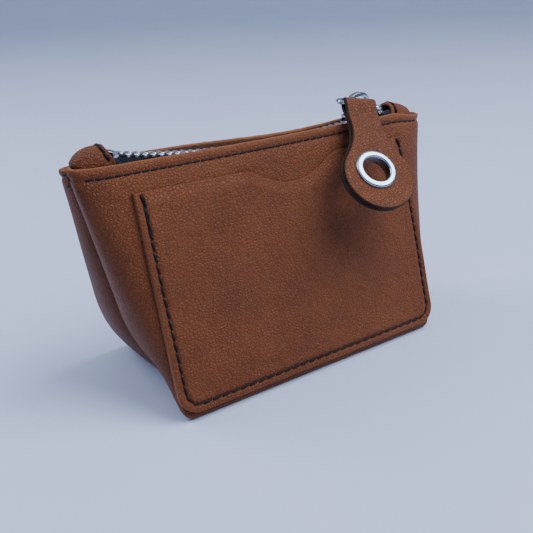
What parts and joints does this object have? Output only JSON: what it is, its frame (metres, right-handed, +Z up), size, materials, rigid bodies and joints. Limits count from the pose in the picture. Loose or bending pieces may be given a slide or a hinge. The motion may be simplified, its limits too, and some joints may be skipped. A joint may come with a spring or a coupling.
{
  "type": "zippered pouch",
  "caption": "Small leather pouch with a boxed base, a zipped top, a stitched card slot on its front and a round leather pull on a D-ring.",
  "frame": {"origin": "on the ground, under the middle of the boxed base", "axes": "+X along the pouch, to the right of someone facing the card slot; -Y is the card slot's side; +Z up"},
  "size_m": [0.122, 0.0579, 0.0746],
  "materials": {
    "leather": "semi-matte tan, fine grain",
    "thread": "black waxed thread",
    "tape": "navy woven tape",
    "metal": "polished nickel"
  },
  "bodies": {
    "pouch": {"front_panel": "leather", "back_panel": "leather", "card_pocket": "leather", "zip_end_tab_left": "leather", "zip_end_tab_right": "leather", "pocket_thread": "thread", "hem_thread_front": "thread", "hem_thread_back": "thread", "side_seam_thread_left": "thread", "side_seam_thread_right": "thread", "base_seam_thread": "thread", "tab_thread_left": "thread", "tab_thread_right": "thread", "zip_tape_front": "tape", "zip_tape_back": "tape", "zip_teeth_front": "metal", "zip_teeth_back": "metal", "top_stop_front": "metal", "top_stop_back": "metal", "bottom_stop": "metal"},
    "slider": {"slider_body": "metal", "slider_crown": "metal"},
    "ring": {"pull_ring": "metal"},
    "fob": {"fob_strap": "leather", "eyelet": "metal", "eyelet_washer": "metal"}
  },
  "joints": [
    {"name": "zip_travel", "type": "hinge", "parent": "pouch", "child": "slider", "pos_m": [0.006, 0, 0.3334], "axis": [0, 1, 0], "range_deg": [0, 17.15], "deforming": ["zip_teeth_front", "zip_teeth_back"]},
    {"name": "ring_swing", "type": "hinge", "parent": "slider", "child": "ring", "pos_m": [0.03763, 0, 0.0709], "axis": [0, 1, 0], "range_deg": [0, 60]},
    {"name": "fob_swing", "type": "hinge", "parent": "ring", "child": "fob", "pos_m": [0.0316, -0.0069, 0.0718], "axis": [-0.9413, 0.3013, 0.1521], "range_deg": [0, 150]}
  ]
}
